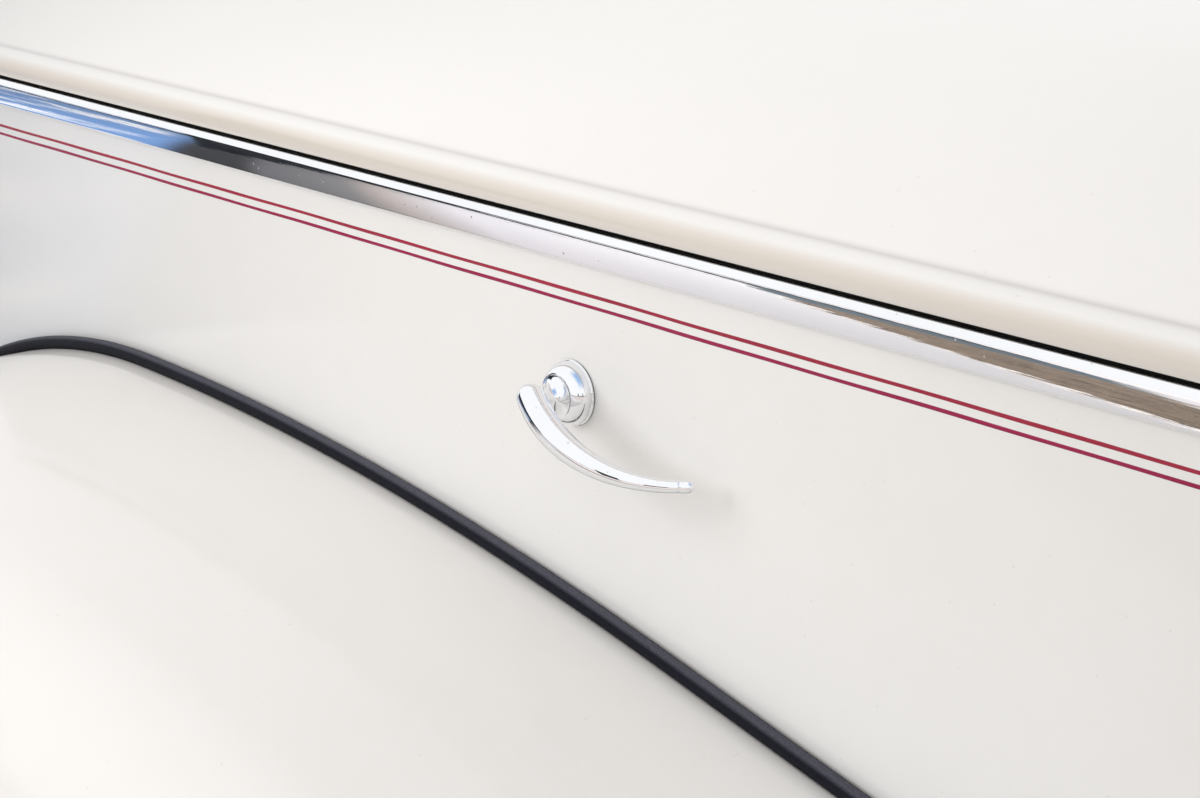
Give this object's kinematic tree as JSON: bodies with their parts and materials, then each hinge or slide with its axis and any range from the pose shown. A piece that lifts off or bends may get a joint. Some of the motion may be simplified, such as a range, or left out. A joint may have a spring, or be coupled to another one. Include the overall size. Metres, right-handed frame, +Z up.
{
  "type": "car front wing and bonnet side assembly",
  "caption": "Left front wing of an open car with bonnet side panel, lever handle, sliding claw lock and a centre-hinged bonnet lid.",
  "frame": {"origin": "centre of the two side bolts in the rear arch, on the arch's rear face, at the lever's height", "axes": "+X rearward along the bonnet, +Y inboard to the car's centre line, +Z up"},
  "size_m": [1.6963, 0.7943, 0.9435],
  "materials": {
    "body_paint": "gloss ivory",
    "chassis_paint": "satin black",
    "chrome": "polished",
    "plated_steel": "plain plated",
    "piping_hide": "grained",
    "black_rubber": "matt",
    "webbing": "woven"
  },
  "bodies": {
    "frame": {"wing": "body_paint", "wing_piping": "piping_hide", "wing_stays": "chassis_paint", "splash_panel": "chassis_paint", "inner_valance": "chassis_paint", "side_panel": "body_paint", "side_moulding": "chrome", "side_stiffener": "body_paint", "rear_arch": "body_paint", "front_arch": "body_paint", "landing_tapes": "webbing", "lid_seal": "black_rubber", "centre_rail": "body_paint", "hinge_pin": "plated_steel", "base_gasket": "black_rubber", "handle_base": "chrome", "latch_bearing": "plated_steel", "lock_guides": "plated_steel"},
    "lid": {"bonnet_lid": "body_paint", "lid_edge_rail": "body_paint", "lid_bows": "body_paint", "lid_catches": "plated_steel", "hinge_leaf": "body_paint"},
    "handle": {"handle_lever": "chrome", "spindle": "plated_steel", "crank": "plated_steel"},
    "lock": {"lock_bar": "plated_steel"}
  },
  "joints": [
    {"name": "lid_lift", "type": "hinge", "parent": "frame", "child": "lid", "pos_m": [0.00001, 0.375, 0.2395], "axis": [-0.9981, -0.0609, -0.0132], "range_deg": [0, 62]},
    {"name": "handle_turn", "type": "hinge", "parent": "frame", "child": "handle", "pos_m": [-0.52, -0.025, 0], "axis": [0, 1, 0], "range_deg": [0, 60]},
    {"name": "lock_slide", "type": "slide", "parent": "frame", "child": "lock", "axis": [1, 0, 0], "range_m": [0, 0.025]}
  ],
  "couplings": [
    {"joint": "lock_slide", "follows": "handle_turn", "m_per_rad": 0.023873}
  ]
}
